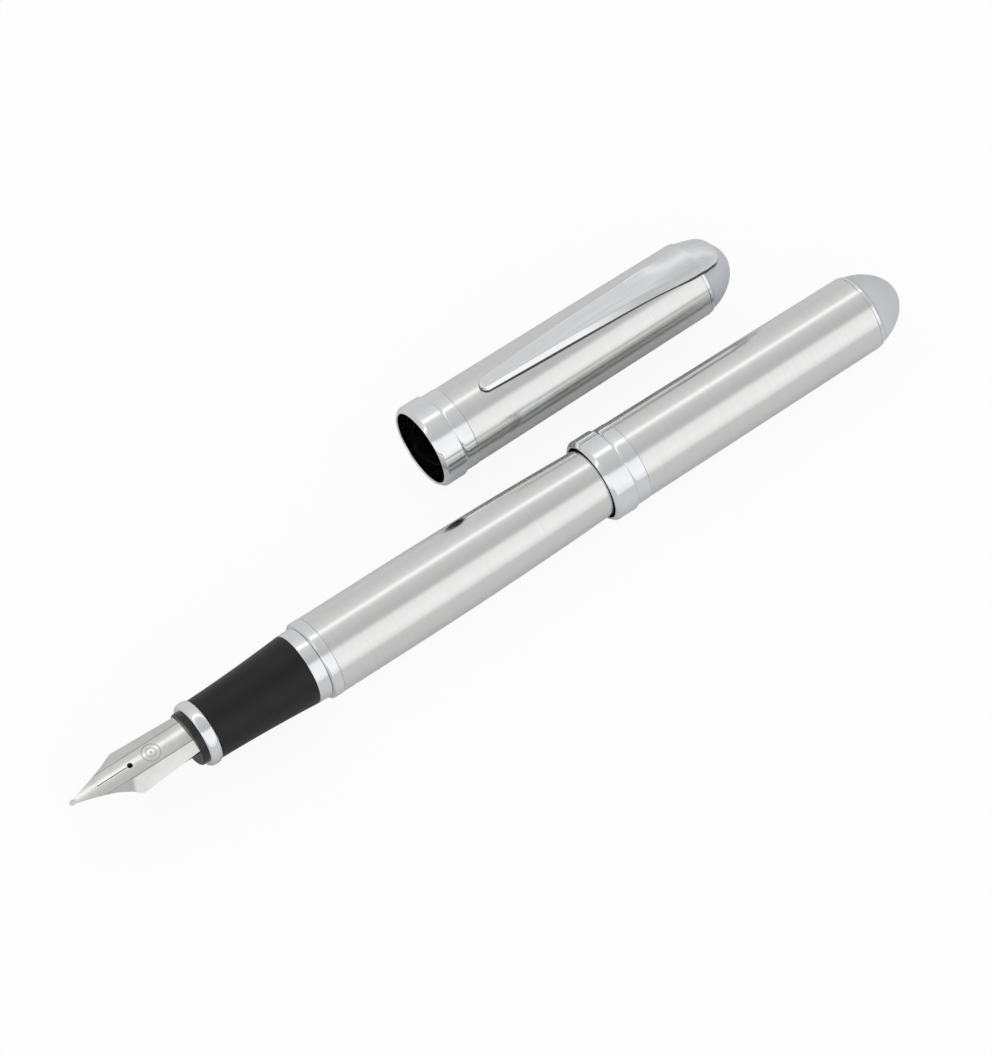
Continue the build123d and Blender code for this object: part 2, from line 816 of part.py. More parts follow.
# ---- the two caps, alike but for the clip ----
for cap_name, cap_station, cap_line in (
    ("tail_cap", tail_cap_station, pen),
    ("clip_cap", clip_cap_station, cap),
):
    cap_side = sidePlane(cap_station, cap_line)
    cap_axis = axisOf(cap_line)

    with BuildPart() as cap_band:
        flat_stop = band_chamfer + band_flat
        cove_stop = flat_stop + band_cove
        cove_bend_radius = neck_radius + cove_bend_share * (band_radius - neck_radius)
        with BuildSketch(cap_side):
            with BuildLine():
                Polyline(
                    (edge_break, cap_bore),
                    (0, cap_bore + edge_break),
                    (0, cap_bore + band_lip_flat),
                    (band_chamfer, band_radius),
                    (flat_stop, band_radius),
                )
                ThreePointArc(
                    (flat_stop, band_radius),
                    (flat_stop + cove_bend_place * band_cove, cove_bend_radius),
                    (cove_stop, neck_radius),
                )
                Polyline(
                    (cove_stop, neck_radius),
                    (band_length - edge_break / 2, neck_radius),
                    (band_length, neck_radius - edge_break / 2),
                    (band_length, sleeve_radius),
                    (liner_start, sleeve_radius),
                    (liner_start, cap_bore),
                    (edge_break, cap_bore),
                )
            make_face()
        revolve(axis=cap_axis)
    finish(cap_band, f"{cap_name}_band")

    with BuildPart() as cap_tube:
        with BuildSketch(cap_side):
            with BuildLine():
                Polyline(
                    (band_length, sleeve_radius),
                    (band_length, cap_radius),
                    (taper_start, cap_radius),
                    (cap_tube_stop, cap_end_radius),
                    (cap_tube_stop, tube_end_bore),
                    (taper_start, sleeve_radius),
                    close=True,
                )
            make_face()
        revolve(axis=cap_axis)
    finish(cap_tube, f"{cap_name}_tube")

    with BuildPart() as cap_liner:
        with BuildSketch(cap_side):
            with BuildLine():
                Polyline(
                    (liner_start, liner_bore),
                    (liner_start, capBore(liner_start) - skin_play),
                    (taper_start, capBore(taper_start) - skin_play),
                    (liner_stop, capBore(liner_stop) - skin_play),
                    (liner_stop, throat_radius),
                    (throat_start, throat_radius),
                    (throat_start, liner_bore),
                    close=True,
                )
            make_face()
        revolve(axis=cap_axis)
    finish(cap_liner, f"{cap_name}_liner")

    with BuildPart() as cap_end_ring:
        with BuildSketch(cap_side):
            with BuildLine():
                Polyline(
                    (plug_start, screw_radius + screw_play),
                    (plug_start, tube_end_bore - skin_play),
                    (cap_tube_stop, tube_end_bore - skin_play),
                    (cap_tube_stop, end_ring_radius),
                    (dome_start - end_ring_bevel, end_ring_radius),
                    (dome_start, dome_radius),
                    (dome_start, screw_radius + screw_play),
                    close=True,
                )
            make_face()
        revolve(axis=cap_axis)
        if cap_name == "clip_cap":
            with BuildSketch(crossPlane(cap_station + cap_tube_stop, cap_line)):
                with Locations((0, end_ring_radius)):
                    Rectangle(tongue_width + 2 * notch_side_play, 2 * (tongue_depth + notch_end_play))
            extrude(amount=end_ring_length, mode=Mode.SUBTRACT)
    finish(cap_end_ring, f"{cap_name}_end_ring")

    with BuildPart() as cap_dome:
        with BuildSketch(cap_side):
            with BuildLine():
                Bezier(*domeCurve(0))
                Polyline((cap_length, 0), (dome_start, 0), (dome_start, dome_radius))
            make_face()
        revolve(axis=cap_axis)
        with BuildSketch(crossPlane(cap_station + dome_start, cap_line)):
            Circle(screw_radius + skin_play)
        extrude(amount=plug_start + screw_length - dome_start + screw_play, mode=Mode.SUBTRACT)
    finish(cap_dome, f"{cap_name}_dome")

    with BuildPart() as cap_screw:
        with BuildSketch(cap_side):
            with BuildLine():
                Polyline(
                    (plug_start - screw_head, 0),
                    (plug_start - screw_head, screw_head_radius - screw_chamfer),
                    (plug_start - screw_head + screw_chamfer, screw_head_radius),
                    (plug_start, screw_head_radius),
                    (plug_start, screw_radius),
                    (plug_start + screw_length, screw_radius),
                    (plug_start + screw_length, 0),
                    close=True,
                )
            make_face()
        revolve(axis=cap_axis)
        with BuildSketch(crossPlane(cap_station + plug_start - screw_head, cap_line)):
            Rectangle(screw_slot, 3 * screw_head_radius)
        extrude(amount=screw_head / 2, mode=Mode.SUBTRACT)
    finish(cap_screw, f"{cap_name}_screw")

# ---- clip: a facetted leaf that widens into a hood over the dome ----
clip_side = sidePlane(clip_cap_station, cap)
clip_top = topPlane(clip_cap_station, cap)
clip_axis = axisOf(cap)
hood_start = cap_tube_stop - clip_hood_lap
leaf_stop = hood_start + clip_leaf_lap
hood_stop = cap_length - clip_hood_end
clip_middle = (clip_front + hood_start) / 2


def clipSection(place, half_width, gap):
    """Corners of the leaf's facetted cross-section at a place along the cap."""
    low = capBore(place) + cap_wall + gap
    edge = low + clip_sheet - clip_facet_rise
    top = low + clip_sheet
    crest = half_width * (1 - clip_facet_share)
    return (
        (-half_width, low),
        (-half_width, edge),
        (-crest, top),
        (crest, top),
        (half_width, edge),
        (half_width, low),
    )


# the hood follows the dome, the end ring and the tube from above
inner_start = hood_start - clip_leaf_lap
with BuildPart() as hood:
    with BuildSketch(clip_side):
        with BuildLine():
            hood_line = Line(
                (hood_start, capBore(hood_start) + cap_wall + clip_root_gap + clip_sheet),
                domeCurve(clip_sheet + clip_play)[0],
            )
            hood_curve = Bezier(*domeCurve(clip_sheet + clip_play))
            Polyline(hood_curve @ 1, (hood_start, 0), hood_line @ 0)
        make_face()
    revolve(axis=clip_axis)
    with BuildSketch(clip_side):
        with BuildLine():
            inner_curve = Bezier(*domeCurve(clip_play))
            Polyline(
                inner_curve @ 1,
                (inner_start, 0),
                (inner_start, capBore(inner_start) + cap_wall + clip_play),
                (cap_tube_stop + clip_play, cap_end_radius + clip_play),
                (dome_start - end_ring_bevel + clip_play, end_ring_radius + clip_play),
                (dome_start + clip_play / 2, dome_radius + clip_play),
                (dome_start, dome_radius + clip_play),
            )
        make_face()
    revolve(axis=clip_axis, mode=Mode.SUBTRACT)
    with BuildSketch(clip_top):
        with BuildLine():
            hood_edge = Spline(
                (hood_start, clip_root_half_width),
                (cap_tube_stop, clip_hood_half_width),
                (hood_stop - clip_hood_nose, clip_hood_nose_share * clip_hood_half_width),
                (hood_stop, 0),
                tangents=[(1, clip_hood_slope), (0, -1)],
            )
            Line((hood_start, 0), hood_edge @ 0)
            mirror(about=Plane.XZ)
        make_face()
    extrude(amount=2 * cap_radius, mode=Mode.INTERSECT)

tip_centre = clip_front + clip_tip_half_width
outline_stop = leaf_stop + clip_leaf_lap
tongue_top = end_ring_radius + clip_play + tongue_lap
with BuildPart() as clip:
    for place, half_width, gap in (
        (clip_front, clip_tip_half_width, clip_play),
        (clip_middle, clip_mid_half_width, clip_arch),
        (leaf_stop, clip_root_half_width, clip_root_gap),
    ):
        with BuildSketch(crossPlane(clip_cap_station + place, cap)):
            with BuildLine():
                Polyline(*clipSection(place, half_width, gap), close=True)
            make_face()
    loft()
    with BuildSketch(clip_top):
        with Locations((tip_centre, 0)):
            Circle(clip_tip_half_width)
        with Locations(((tip_centre + outline_stop) / 2, 0)):
            Rectangle(outline_stop - tip_centre, 4 * clip_root_half_width)
    extrude(amount=2 * cap_radius, mode=Mode.INTERSECT)
    add(hood.part)
    with BuildSketch(crossPlane(clip_cap_station + cap_tube_stop + tongue_inset, cap)):
        with Locations((0, tongue_top - tongue_depth / 2)):
            Rectangle(tongue_width, tongue_depth)
    extrude(amount=tongue_sheet)
finish(clip, "clip")

print("tail cap mouth", round(tail_cap_station, 3), "overall", round(overall_length, 3))
print("throat radius", round(throat_radius, 3), "liner bore", round(liner_bore, 3))
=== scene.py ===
import math
import bpy
import bmesh
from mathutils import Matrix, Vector


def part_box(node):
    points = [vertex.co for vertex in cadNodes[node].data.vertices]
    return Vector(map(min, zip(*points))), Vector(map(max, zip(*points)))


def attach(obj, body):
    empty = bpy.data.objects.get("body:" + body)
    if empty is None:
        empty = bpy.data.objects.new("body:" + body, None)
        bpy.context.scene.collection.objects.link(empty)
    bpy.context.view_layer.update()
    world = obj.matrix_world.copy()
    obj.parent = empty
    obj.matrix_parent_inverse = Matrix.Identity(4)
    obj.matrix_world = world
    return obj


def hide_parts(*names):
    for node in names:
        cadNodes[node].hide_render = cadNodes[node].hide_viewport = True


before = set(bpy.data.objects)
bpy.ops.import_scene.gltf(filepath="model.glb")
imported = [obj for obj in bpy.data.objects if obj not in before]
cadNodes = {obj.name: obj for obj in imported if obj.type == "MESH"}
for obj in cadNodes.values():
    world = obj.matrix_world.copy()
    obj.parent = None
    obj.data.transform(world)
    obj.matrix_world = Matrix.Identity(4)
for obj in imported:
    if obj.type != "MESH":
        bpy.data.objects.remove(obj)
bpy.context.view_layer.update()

mm = 0.001


def axisOf(node):
    low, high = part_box(node)
    return (low.y + high.y) / 2, (low.z + high.z) / 2


penY, penZ = axisOf("barrel_tube")
capY, capZ = axisOf("clip_cap_tube")
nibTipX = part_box("nib_point")[0].x
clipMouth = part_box("clip_cap_band")[0].x
print("frame loaded, pen axis at", round(penY, 4), round(penZ, 4))


# shader maths
class Flow:
    # wraps an output socket, so that shader maths reads as arithmetic
    def __init__(self, finish, socket):
        self.finish = finish
        self.socket = socket

    def join(self, operation, first, second=0.0):
        return self.finish.add("ShaderNodeMath", {"operation": operation}, {0: first, 1: second})

    def __add__(self, other):
        return self.join("ADD", self, other)

    __radd__ = __add__

    def __sub__(self, other):
        return self.join("SUBTRACT", self, other)

    def __rsub__(self, other):
        return self.join("SUBTRACT", other, self)

    def __mul__(self, other):
        return self.join("MULTIPLY", self, other)

    __rmul__ = __mul__

    def __truediv__(self, other):
        return self.join("DIVIDE", self, other)

    def __pow__(self, other):
        return self.join("POWER", self, other)

    def size(self):
        return self.join("ABSOLUTE", self)

    def above(self, level):
        return self.join("GREATER_THAN", self, level)


class Finish:
    # one material, with the one method that adds any other node
    def __init__(self, name, tree=None):
        if tree is None:
            self.material = bpy.data.materials.new(name)
            self.material.use_nodes = True
            tree = self.material.node_tree
        self.tree = tree

    def add(self, kind, settings=None, inputs=None, output=0):
        node = self.tree.nodes.new(kind)
        for key, value in (settings or {}).items():
            if key == "stops":
                while len(node.color_ramp.elements) < len(value):
                    node.color_ramp.elements.new(0.5)
                for element, (place, tone) in zip(node.color_ramp.elements, value):
                    element.position = place
                    element.color = (*tone, 1) if hasattr(tone, "__len__") else (tone, tone, tone, 1)
            else:
                setattr(node, key, value)
        self.feed(node, inputs or {})
        return Flow(self, node.outputs[output])

    def feed(self, node, inputs):
        for key, value in inputs.items():
            if isinstance(value, Flow):
                self.tree.links.new(value.socket, node.inputs[key])
            else:
                node.inputs[key].default_value = value

    def surface(self, **inputs):
        shader = self.tree.nodes["Principled BSDF"]
        self.feed(shader, {key.replace("_", " "): value for key, value in inputs.items()})
        return self.material

    def place(self):
        return self.add("ShaderNodeTexCoord", output="Object")

    def along(self, stretch):
        # object position squeezed per axis, in millimetres, which makes streaks
        scale = [value / mm for value in stretch]
        return self.add("ShaderNodeVectorMath", {"operation": "MULTIPLY"}, {0: self.place(), 1: scale})

    def noise(self, vector, scale=1.0, detail=3.0, roughness=0.5):
        return self.add(
            "ShaderNodeTexNoise",
            {"noise_dimensions": "3D"},
            {"Vector": vector, "Scale": scale, "Detail": detail, "Roughness": roughness},
        )

    def blend(self, amount, first, second):
        return self.add(
            "ShaderNodeMix",
            {"data_type": "RGBA"},
            {"Factor": amount, 6: (*first, 1) if isinstance(first, tuple) else first,
             7: (*second, 1) if isinstance(second, tuple) else second},
            output=2,
        )

    def ramp(self, value, low, high, out=(0.0, 1.0)):
        return self.add(
            "ShaderNodeMapRange", {"clamp": True, "interpolation_type": "SMOOTHSTEP"},
            {"Value": value, "From Min": low, "From Max": high, "To Min": out[0], "To Max": out[1]},
        )

    def bump(self, height, strength, distance):
        return self.add(
            "ShaderNodeBump", {}, {"Height": height, "Strength": strength, "Distance": distance}
        )

    def axisPart(self, number):
        return self.add("ShaderNodeSeparateXYZ", {}, {0: self.place()}, output=number)


# finishes
def makeBrushedTube(name, tone):
    f = Finish(name)
    fine = f.noise(f.along((9.0, 0.10, 0.10)), 1.0, 4.0, 0.6)
    broad = f.noise(f.along((1.4, 0.03, 0.03)), 1.0, 2.0)
    cloud = f.noise(f.along((0.05, 0.12, 0.12)), 1.0, 2.0)
    grain = f.ramp(fine, 0.25, 0.75)
    light = tuple(value * tone["lift"] for value in tone["metal"])
    dark = tuple(value * tone["drop"] for value in tone["metal"])
    return f.surface(
        Base_Color=f.blend(grain * 0.8 + broad * 0.2, dark, light),
        Metallic=1.0,
        Roughness=tone["roughness"] + 0.03 * (fine - 0.5) + 0.03 * (cloud - 0.5),
        Normal=f.bump(fine, tone["grain"], 0.02 * mm),
    )


def makeBrightTrim(name, tone):
    f = Finish(name)
    haze = f.noise(f.along((0.25, 0.25, 0.25)), 1.0, 3.0)
    specks = f.noise(f.along((6.0, 6.0, 6.0)), 1.0, 2.0)
    return f.surface(
        Base_Color=f.blend(f.ramp(haze, 0.35, 0.65), tone["metal"], tone["shade"]),
        Metallic=1.0,
        Roughness=tone["roughness"] + 0.05 * f.ramp(specks, 0.55, 0.8) + 0.04 * haze,
        Normal=f.bump(haze, 0.02, 0.05 * mm),
    )


def makeDomeSatin(name, tone):
    f = Finish(name)
    haze = f.noise(f.along((0.3, 0.3, 0.3)), 1.0, 3.0)
    frost = f.noise(f.along((8.0, 8.0, 8.0)), 1.0, 2.0)
    return f.surface(
        Base_Color=f.blend(f.ramp(haze, 0.3, 0.7), tone["metal"], tone["shade"]),
        Metallic=tone["metallic"],
        Roughness=tone["roughness"] + 0.06 * (frost - 0.5),
        Specular_IOR_Level=0.3,
        Normal=f.bump(frost, 0.05, 0.02 * mm),
    )


def makeMoulded(name, tone):
    f = Finish(name)
    pores = f.noise(f.along((tone["pores"],) * 3), 1.0, 3.0, 0.6)
    worn = f.noise(f.along((0.3, 0.3, 0.3)), 1.0, 2.0)
    return f.surface(
        Base_Color=f.blend(f.ramp(worn, 0.35, 0.7), tone["dark"], tone["light"]),
        Roughness=tone["roughness"] + 0.12 * (pores - 0.5) + 0.06 * (worn - 0.5),
        Specular_IOR_Level=tone["gloss"],
        Normal=f.bump(pores, tone["texture"], 0.03 * mm),
    )


def makeClearPlastic(name):
    f = Finish(name)
    rings = f.noise(f.along((3.0, 0.2, 0.2)), 1.0, 2.0)
    return f.surface(
        Base_Color=f.blend(rings, (0.93, 0.95, 0.96), (0.86, 0.9, 0.93)),
        Roughness=0.05 + 0.05 * rings,
        IOR=1.49,
        Transmission_Weight=0.92,
    )


def makeTurnedBrass(name):
    f = Finish(name)
    rings = f.noise(f.along((12.0, 0.15, 0.15)), 1.0, 3.0)
    tarnish = f.noise(f.along((0.4, 0.4, 0.4)), 1.0, 3.0)
    return f.surface(
        Base_Color=f.blend(f.ramp(tarnish, 0.3, 0.7), (0.80, 0.62, 0.33), (0.68, 0.50, 0.25)),
        Metallic=1.0,
        Roughness=0.22 + 0.1 * rings,
        Normal=f.bump(rings, 0.1, 0.02 * mm),
    )


nibMarks = dict(
    ringBack=14.6,  # centre of the ornament behind the tip, mm
    ringRadius=1.45,
    ringLine=0.09,
    innerRadius=0.75,
    borderPlace=1.85,  # side line on the nib, from its middle, mm
    dotRadius=0.12,
    dotFade=0.2,
    engravedTone=(0.20, 0.20, 0.19),
    borderStart=5.5,
    borderLine=0.13,
)


def makeNibSteel(name, marks):
    f = Finish(name)
    x, y = f.axisPart(0) / mm - nibTipX / mm, f.axisPart(1) / mm - penY / mm
    away = (x - marks["ringBack"]) ** 2.0 + y * y
    distance = away ** 0.5
    ring = 1 - f.ramp((distance - marks["ringRadius"]).size(), 0.3 * marks["ringLine"], marks["ringLine"])
    inner = 1 - f.ramp((distance - marks["innerRadius"]).size(), 0.3 * marks["ringLine"], marks["ringLine"])
    dot = 1 - f.ramp(distance, marks["dotRadius"], marks["dotFade"])
    side = (y.size() - marks["borderPlace"]).size()
    border = 1 - f.ramp(side, 0.3 * marks["borderLine"], marks["borderLine"])
    border = border * x.above(marks["borderStart"])
    engraved = f.ramp(ring + inner * 0.8 + dot + border * 0.8, 0.0, 1.0)
    polish = f.noise(f.along((0.15, 5.0, 5.0)), 1.0, 3.0)
    haze = f.noise(f.along((0.3, 0.3, 0.3)), 1.0, 2.0)
    metal = f.blend(f.ramp(haze, 0.3, 0.7), (0.80, 0.80, 0.78), (0.72, 0.72, 0.70))
    return f.surface(
        Base_Color=f.blend(engraved * 0.65, metal, marks["engravedTone"]),
        Metallic=1.0,
        Roughness=0.13 + 0.08 * (polish - 0.5) + 0.25 * engraved,
        Normal=f.bump(0.06 * polish - engraved, 0.5, 0.05 * mm),
    )


def makeClipMetal(name):
    f = Finish(name)
    lines = f.noise(f.along((0.12, 9.0, 1.0)), 1.0, 4.0, 0.6)
    facing = f.add("ShaderNodeNewGeometry", output="Normal")
    up = f.add("ShaderNodeSeparateXYZ", {}, {0: facing}, output=2)
    near = f.add("ShaderNodeSeparateXYZ", {}, {0: facing}, output=1) * -1
    hood = f.ramp(f.axisPart(0) / mm - clipMouth / mm, 38.0, 46.0)
    flat = 1 - f.ramp(near, 0.2, 0.32) * (1 - hood)  # the top is brushed, the near facet is polished
    side = f.ramp(up, 0.1, 0.45)  # painted shade: the side walls and underside of the sheet are darkened to near black, standing in for the shadow in the gap under the clip
    brushed = f.blend(f.ramp(lines, 0.3, 0.7), (0.75, 0.77, 0.78), (0.87, 0.88, 0.89))
    return f.surface(
        # painted shade: the base colour falls to near black where the clip faces sideways or down
        Base_Color=f.blend(side, (0.10, 0.10, 0.10), f.blend(flat, (0.93, 0.94, 0.95), brushed)),
        Metallic=1.0,
        Roughness=0.07 + 0.17 * flat + 0.08 * flat * hood + 0.08 * flat * (lines - 0.5),
        Normal=f.bump(lines * flat, 0.16, 0.02 * mm),
    )


tones = dict(
    tube=dict(metal=(0.83, 0.835, 0.825), lift=1.03, drop=0.96, roughness=0.18, grain=0.07),
    trim=dict(metal=(0.90, 0.91, 0.925), shade=(0.86, 0.87, 0.89), roughness=0.04),
    dome=dict(metal=(0.67, 0.69, 0.72), shade=(0.64, 0.66, 0.69), roughness=0.6, metallic=0.2),
    grip=dict(
        dark=(0.005, 0.005, 0.0055), light=(0.008, 0.008, 0.009),
        pores=7.0, roughness=0.44, gloss=0.36, texture=0.25,
    ),
    moulded=dict(
        dark=(0.008, 0.008, 0.009), light=(0.014, 0.014, 0.015),
        pores=4.0, roughness=0.3, gloss=0.5, texture=0.08,
    ),
    liner=dict(
        dark=(0.004, 0.004, 0.004), light=(0.008, 0.008, 0.008),
        pores=3.0, roughness=0.6, gloss=0.2, texture=0.1,
    ),
    rubber=dict(
        dark=(0.02, 0.02, 0.02), light=(0.035, 0.035, 0.035),
        pores=5.0, roughness=0.6, gloss=0.4, texture=0.2,
    ),
    steel=dict(metal=(0.70, 0.70, 0.69), lift=1.04, drop=0.92, roughness=0.28, grain=0.2),
)
brushedTube = makeBrushedTube("brushedTube", tones["tube"])
brightTrim = makeBrightTrim("brightTrim", tones["trim"])
domeSatin = makeDomeSatin("domeSatin", tones["dome"])
gripBlack = makeMoulded("gripBlack", tones["grip"])
mouldedBlack = makeMoulded("mouldedBlack", tones["moulded"])
linerBlack = makeMoulded("linerBlack", tones["liner"])
pistonRubber = makeMoulded("pistonRubber", tones["rubber"])
turnedSteel = makeBrushedTube("turnedSteel", tones["steel"])
turnedBrass = makeTurnedBrass("turnedBrass")
clearPlastic = makeClearPlastic("clearPlastic")
nibSteel = makeNibSteel("nibSteel", nibMarks)
clipMetal = makeClipMetal("clipMetal")
print("finishes made")


# mesh helpers
def soften(outline, radius, steps=4):
    # rounds each corner of a closed outline with a small arc
    rounded = []
    count = len(outline)
    for number in range(count):
        before, corner, after = (Vector(outline[(number + k) % count]) for k in (-1, 0, 1))
        one, two = before - corner, after - corner
        if one.length < 1e-9 or two.length < 1e-9:
            continue
        turn = one.angle(two)
        if turn > math.radians(168):
            rounded.append(tuple(corner))
            continue
        cut = min(radius, 0.4 * one.length, 0.4 * two.length)
        start, stop = corner + one.normalized() * cut, corner + two.normalized() * cut
        for step in range(steps + 1):
            share = step / steps
            point = start * (1 - share) ** 2 + corner * 2 * share * (1 - share) + stop * share ** 2
            rounded.append(tuple(point))
    return rounded


def smoothed(piece, angle=38):
    piece.data.shade_smooth()
    piece.data.set_sharp_from_angle(angle=math.radians(angle))
    weighted = piece.modifiers.new("weighted", "WEIGHTED_NORMAL")
    weighted.keep_sharp = True
    weighted.weight = 90
    return piece


def newPiece(name, builder, material):
    mesh = bpy.data.meshes.new(name)
    bmesh.ops.recalc_face_normals(builder, faces=builder.faces)
    builder.to_mesh(mesh)
    builder.free()
    piece = bpy.data.objects.new(name, mesh)
    bpy.context.scene.collection.objects.link(piece)
    mesh.materials.append(material)
    return piece


def seat(piece, body, slot, *nodes):
    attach(piece, body)
    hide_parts(*nodes)
    return piece


def turned(name, outline, centre, material, rounding=0.05, turns=168):
    # a closed outline of (x, radius), in metres, turned about an axis along X
    points = soften(outline, rounding * mm)
    builder = bmesh.new()
    rings = []
    for x, radius in points:
        if radius < 1e-7:
            rings.append([builder.verts.new((x, centre[0], centre[1]))] * turns)
            continue
        ring = []
        for number in range(turns):
            angle = 2 * math.pi * number / turns
            y, z = centre[0] + radius * math.sin(angle), centre[1] + radius * math.cos(angle)
            ring.append(builder.verts.new((x, y, z)))
        rings.append(ring)
    for number in range(len(rings)):
        one, two = rings[number], rings[(number + 1) % len(rings)]
        for k in range(turns):
            corners = [one[k], one[(k + 1) % turns], two[(k + 1) % turns], two[k]]
            unique = list(dict.fromkeys(corners))
            if len(unique) > 2:
                builder.faces.new(unique)
    return smoothed(newPiece(name, builder, material))


def through(points, first=None, last=None):
    # a smooth function of x through the points (x, value)
    slopes = []
    for k in range(len(points)):
        low, high = max(k - 1, 0), min(k + 1, len(points) - 1)
        slopes.append((points[high][1] - points[low][1]) / (points[high][0] - points[low][0]))
    if first is not None:
        slopes[0] = first
    if last is not None:
        slopes[-1] = last

    def curve(x):
        if x <= points[0][0]:
            return points[0][1]
        for k in range(len(points) - 1):
            (x0, v0), (x1, v1) = points[k], points[k + 1]
            if x <= x1:
                width = x1 - x0
                t = (x - x0) / width
                return (
                    v0 * (1 + 2 * t) * (1 - t) ** 2 + v1 * t * t * (3 - 2 * t)
                    + width * (slopes[k] * t * (1 - t) ** 2 - slopes[k + 1] * t * t * (1 - t))
                )
        return points[-1][1]

    return curve


def bezier(points, share):
    a, b, c, d = (Vector(p) for p in points)
    rest = 1 - share
    return a * rest ** 3 + b * 3 * share * rest ** 2 + c * 3 * share ** 2 * rest + d * share ** 3


def ends(node):
    low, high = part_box(node)
    return low.x, high.x, (high.y - low.y) / 2


# camera, studio and table
view = dict(
    azimuth=-36.3, elevation=60.0, distance=1.2, lens=271.5,
    aim=(79.6, 0.0, 0.0),  # on the pen's axis, mm behind the tip of the nib
    nudge=(-1.34, 1.50),  # mm right and up in the picture
)


def makeCamera(look):
    azimuth, elevation = math.radians(look["azimuth"]), math.radians(look["elevation"])
    level = math.cos(elevation)
    away = Vector((math.sin(azimuth) * level, -math.cos(azimuth) * level, math.sin(elevation)))
    right = Vector((math.cos(azimuth), math.sin(azimuth), 0))
    up = away.cross(right)
    target = Vector((nibTipX, penY, penZ)) + Vector(look["aim"]) * mm
    target += right * look["nudge"][0] * mm + up * look["nudge"][1] * mm
    data = bpy.data.cameras.new("camera")
    data.lens = look["lens"]
    data.sensor_width = 36
    data.clip_start = 0.05
    data.clip_end = 20
    camera = bpy.data.objects.new("camera", data)
    bpy.context.scene.collection.objects.link(camera)
    camera.location = target + away * look["distance"]
    camera.rotation_euler = (-away).to_track_quat("-Z", "Y").to_euler()
    bpy.context.scene.camera = camera


studio = dict(
    strength=1.0,
    # tone of the soft boxes by their angle over the table, from the near side round to the far side
    tones=(
        (0.00, 0.84), (0.10, 1.02), (0.30, 0.95), (0.335, 0.68), (0.35, 0.55), (0.40, 0.55), (0.57, 0.66),
        (0.615, 0.76), (0.645, 1.22), (0.672, 1.22), (0.70, 0.80), (0.78, 0.70), (0.90, 0.64), (1.00, 0.62),
    ),
    floorTone=(0.84, 0.84, 0.84),
    floorGlow=1.03,
    floorShade=0.12,  # how much of the floor's own shading the picture keeps
)


def makeStudio(light):
    world = bpy.data.worlds.new("studio")
    bpy.context.scene.world = world
    world.use_nodes = True
    w = Finish("studio", world.node_tree)
    direction = w.add("ShaderNodeTexCoord", output="Generated")
    y = w.add("ShaderNodeSeparateXYZ", {}, {0: direction}, output=1)
    z = w.add("ShaderNodeSeparateXYZ", {}, {0: direction}, output=2)
    angle = w.add("ShaderNodeMath", {"operation": "ARCTAN2"}, {0: z, 1: 0 - y}) / math.pi
    sky = w.add("ShaderNodeValToRGB", {"stops": light["tones"]}, {0: angle})
    w.feed(world.node_tree.nodes["Background"], {"Color": sky, "Strength": light["strength"]})

    builder = bmesh.new()
    bmesh.ops.create_grid(builder, x_segments=1, y_segments=1, size=4.0)
    f = Finish("table")
    mottle = f.noise(f.along((0.01, 0.01, 0.01)), 1.0, 2.0)
    bounce = f.add(
        "ShaderNodeBsdfDiffuse", {},
        {"Color": f.blend(mottle, light["floorTone"], tuple(0.98 * v for v in light["floorTone"]))},
    )
    glow = f.add("ShaderNodeEmission", {}, {"Color": (1, 1, 1, 1), "Strength": light["floorGlow"]})
    seen = f.add("ShaderNodeLightPath", output="Is Camera Ray") * (1 - light["floorShade"])
    mixed = f.add("ShaderNodeMixShader", {}, {0: seen, 1: bounce, 2: glow})
    f.tree.links.new(mixed.socket, f.tree.nodes["Material Output"].inputs["Surface"])
    table = newPiece("table", builder, f.material)

    scene = bpy.context.scene
    scene.view_settings.view_transform = "Standard"
    scene.view_settings.look = "None"


makeCamera(view)
makeStudio(studio)
print("camera and studio set")

# barrel
barrel = dict(
    straight=12.7, wall=0.74, collarBreak=0.24, collarEdge=0.12,
    plugPlay=0.02, plugNose=0.55, plugShoulder=0.93,  # fullness of the end plug, as shares of its radius
)


def makeBarrel(part):
    x0, x1, radius = ends("barrel_tube")
    endRadius = ends("barrel_end")[2]
    bowStart = x0 + part["straight"] * mm
    reach, fall = x1 - bowStart, radius - endRadius
    bow = (reach ** 2 + fall ** 2) / (2 * fall)

    def outer(x):
        past = max(0, x - bowStart)
        return radius - bow + math.sqrt(bow ** 2 - past ** 2)

    steps = 60
    places = [x0] + [bowStart + reach * k / steps for k in range(steps + 1)]
    wall = part["wall"] * mm
    outline = [(x, outer(x)) for x in places] + [(x, outer(x) - wall) for x in reversed(places)]
    tube = turned("barrelTube", outline, (penY, penZ), brushedTube, 0.04)
    seat(tube, "barrel", "brushed_tube", "barrel_tube")

    c0, c1, collarRadius = ends("barrel_collar")
    bore = radius - wall
    breakAway, edge = part["collarBreak"] * mm, part["collarEdge"] * mm
    collar = turned(
        "barrelCollar",
        [(c0, bore), (c0, collarRadius - breakAway), (c0 + breakAway, collarRadius),
         (c1 - edge, collarRadius), (c1, collarRadius - edge), (c1, bore)],
        (penY, penZ), brightTrim, 0.08,
    )
    seat(collar, "barrel", "bright_trim", "barrel_collar")

    low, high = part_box("barrel_end")
    spigotRadius = endRadius - wall - part["plugPlay"] * mm
    handles = (
        (high.x, 0), (high.x, part["plugNose"] * endRadius),
        (x1 + 0.5 * (high.x - x1), part["plugShoulder"] * endRadius), (x1, endRadius),
    )
    curve = [bezier(handles, k / 24) for k in range(25)]
    outline = [tuple(p) for p in curve] + [(x1, spigotRadius), (low.x, spigotRadius), (low.x, 0)]
    plug = turned("barrelEnd", outline, (penY, penZ), brightTrim, 0.04)
    seat(plug, "barrel", "bright_trim", "barrel_end")


makeBarrel(barrel)
print("barrel made")

